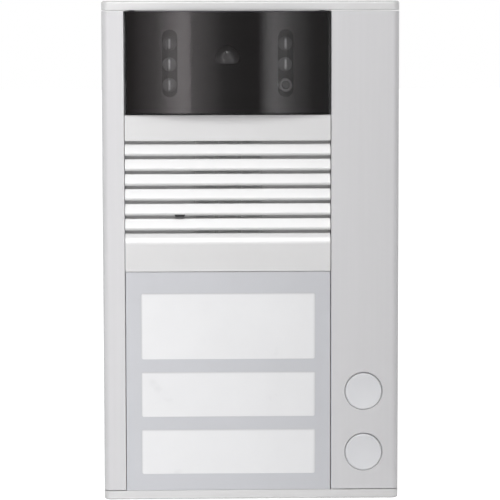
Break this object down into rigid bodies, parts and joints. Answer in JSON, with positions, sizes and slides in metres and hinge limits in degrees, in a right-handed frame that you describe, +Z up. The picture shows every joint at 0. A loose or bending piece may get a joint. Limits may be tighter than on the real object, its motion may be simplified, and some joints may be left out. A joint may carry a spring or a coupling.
{
  "type": "door intercom panel",
  "caption": "Wall-mounted door intercom panel with a bowed smoked camera window, a louvred speaker grille, lit name labels and sprung call buttons.",
  "frame": {"origin": "centre of the face that lies on the wall", "axes": "+X to the right as seen from the front, the front faces -Y, +Z up"},
  "size_m": [0.122, 0.039, 0.206],
  "materials": {
    "anodised_profile": "satin anodised",
    "silver_plastic": "fine satin",
    "name_frame_grey": "fine satin",
    "button_cap": "fine satin",
    "smoked_window": "polished smoked",
    "black_moulding": "fine matte",
    "dark_grey_moulding": "fine matte",
    "white_moulding": "smooth",
    "clear_pane": "polished clear",
    "lamp_resin": "clear resin",
    "camera_glass": "coated",
    "label_card": "smooth",
    "rubber": "matte",
    "foam": "open foam",
    "sound_cloth": "woven",
    "steel": "bright",
    "speaker_metal": "zinc plated",
    "speaker_paper": "pressed",
    "circuit_board": "solder resist",
    "terminal_green": "smooth",
    "lead_sheath": "smooth"
  },
  "bodies": {
    "housing": {"front_profile": "anodised_profile", "top_end_cap": "silver_plastic", "bottom_end_cap": "silver_plastic", "end_cap_screw_1": "steel", "end_cap_screw_2": "steel", "end_cap_screw_3": "steel", "end_cap_screw_4": "steel", "locking_screw": "steel", "camera_window": "smoked_window", "window_gasket": "foam", "lamp_shroud": "black_moulding", "lamp_board": "circuit_board", "lamp_1": "lamp_resin", "lamp_2": "lamp_resin", "lamp_3": "lamp_resin", "lamp_4": "lamp_resin", "lamp_5": "lamp_resin", "light_sensor": "lamp_resin", "camera_carrier": "black_moulding", "speaker_grille": "silver_plastic", "sound_mesh": "sound_cloth", "microphone_boot": "rubber", "microphone_capsule": "speaker_metal", "speaker_gasket": "foam", "speaker_basket": "speaker_metal", "speaker_cone": "speaker_paper", "speaker_magnet": "speaker_metal", "speaker_lead": "lead_sheath", "name_frame": "name_frame_grey", "label_pane_1": "clear_pane", "label_pane_2": "clear_pane", "label_pane_3": "clear_pane", "label_card_1": "label_card", "label_card_2": "label_card", "label_card_3": "label_card", "light_guide": "white_moulding", "label_tray": "white_moulding", "backlight_board": "circuit_board", "backlight_lamp_1": "lamp_resin", "backlight_lamp_2": "lamp_resin", "backlight_lamp_3": "lamp_resin", "button_spring_1": "steel", "button_spring_2": "steel", "button_carrier": "dark_grey_moulding", "switch_board": "circuit_board", "switch_body_1": "black_moulding", "switch_body_2": "black_moulding", "main_board": "circuit_board", "terminal_block": "terminal_green", "rear_base": "dark_grey_moulding", "cable_grommet": "rubber"},
    "call_button_1": {"call_button_1": "button_cap"},
    "call_button_2": {"call_button_2": "button_cap"},
    "switch_plunger_1": {"switch_plunger_1": "white_moulding"},
    "switch_plunger_2": {"switch_plunger_2": "white_moulding"},
    "camera_pan": {"camera_pan_ring": "dark_grey_moulding"},
    "camera_tilt": {"camera_eyeball": "black_moulding", "camera_barrel": "black_moulding", "camera_glass": "camera_glass", "image_sensor": "circuit_board"}
  },
  "joints": [
    {"name": "call_button_1_press", "type": "slide", "parent": "housing", "child": "call_button_1", "axis": [0, 1, 0], "range_m": [0, 0.0012], "stiffness_N_per_m": 800, "springref_m": -0.0015, "deforming": ["button_spring_1"]},
    {"name": "switch_plunger_1_press", "type": "slide", "parent": "housing", "child": "switch_plunger_1", "axis": [0, 1, 0], "range_m": [0, 0.0012]},
    {"name": "call_button_2_press", "type": "slide", "parent": "housing", "child": "call_button_2", "axis": [0, 1, 0], "range_m": [0, 0.0012], "stiffness_N_per_m": 800, "springref_m": -0.0015, "deforming": ["button_spring_2"]},
    {"name": "switch_plunger_2_press", "type": "slide", "parent": "housing", "child": "switch_plunger_2", "axis": [0, 1, 0], "range_m": [0, 0.0012]},
    {"name": "camera_pan", "type": "hinge", "parent": "housing", "child": "camera_pan", "pos_m": [-0.00945, -0.025, 0.0788], "axis": [0, 0, 1], "range_deg": [-15, 15]},
    {"name": "camera_tilt", "type": "hinge", "parent": "camera_pan", "child": "camera_tilt", "pos_m": [-0.00945, -0.025, 0.0788], "axis": [1, 0, 0], "range_deg": [-15, 15]}
  ],
  "couplings": [
    {"joint": "switch_plunger_1_press", "follows": "call_button_1_press", "ratio": 1},
    {"joint": "switch_plunger_2_press", "follows": "call_button_2_press", "ratio": 1}
  ]
}
